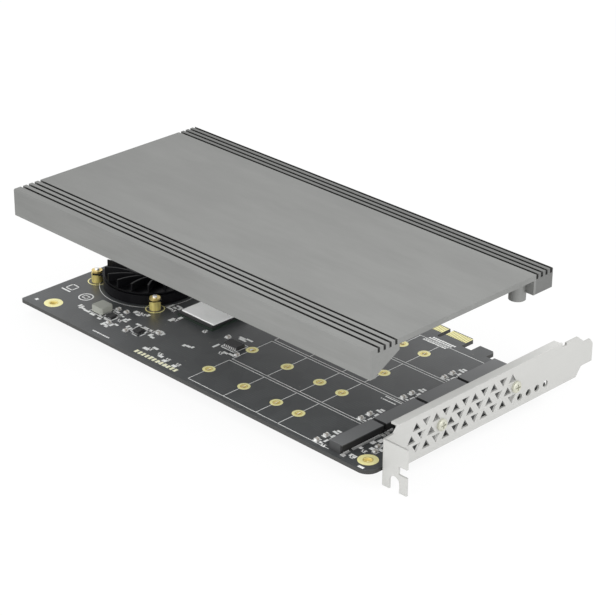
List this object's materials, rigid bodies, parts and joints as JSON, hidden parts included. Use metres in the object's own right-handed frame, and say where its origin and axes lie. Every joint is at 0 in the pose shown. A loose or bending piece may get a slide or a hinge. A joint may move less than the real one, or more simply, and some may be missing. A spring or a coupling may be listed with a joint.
{
  "type": "m.2 adapter card",
  "caption": "Full-height expansion card carrying M.2 storage modules side by side, with a round blower, a perforated slot bracket and a grooved cover lifted off.",
  "frame": {"origin": "middle of the key notch at the tip of the edge connector, on the board's component face", "axes": "+X along the card towards the slot bracket, +Y the way the card is pushed into its slot, +Z out of the component face"},
  "size_m": [0.2137, 0.1267, 0.0565],
  "materials": {
    "bearing_bronze": "satin",
    "bracket_steel": "brushed",
    "brass": "polished",
    "ceramic": "satin",
    "chip_black": "matte",
    "cover_aluminium": "brushed",
    "fan_plastic": "satin",
    "ferrite": "matte",
    "gold": "polished",
    "led_resin": "clear",
    "nylon_black": "matte",
    "resistor": "satin",
    "shaft_steel": "ground",
    "solder_mask": "satin",
    "thermal_pad": "matte",
    "tin": "satin"
  },
  "bodies": {
    "card": {"circuit_board": "solder_mask", "edge_contacts": "gold", "m2_socket_1": "nylon_black", "m2_socket_2": "nylon_black", "m2_socket_3": "nylon_black", "m2_socket_4": "nylon_black", "socket_tabs": "tin", "slot_bracket": "bracket_steel", "bracket_blocks": "tin", "bracket_screws": "brass", "cover": "cover_aluminium", "cover_posts": "brass", "fan_base": "fan_plastic", "fan_bearing": "bearing_bronze", "fan_standoffs": "brass", "fan_screws": "brass", "switch_chip": "chip_black", "chip_pad": "thermal_pad", "power_inductor": "ferrite", "inductor_terminals": "tin", "power_controller_1": "chip_black", "power_controller_2": "chip_black", "memory_chip": "chip_black", "memory_leads": "tin", "header_pads": "gold", "ceramic_capacitors": "ceramic", "chip_resistors": "resistor", "status_leds": "led_resin"},
    "rotor": {"impeller": "fan_plastic", "fan_shaft": "shaft_steel"}
  },
  "joints": [
    {"name": "fan_spin", "type": "hinge", "parent": "card", "child": "rotor", "pos_m": [-0.117, -0.0598, 0.0049], "axis": [0, 0, 1], "continuous": true}
  ]
}
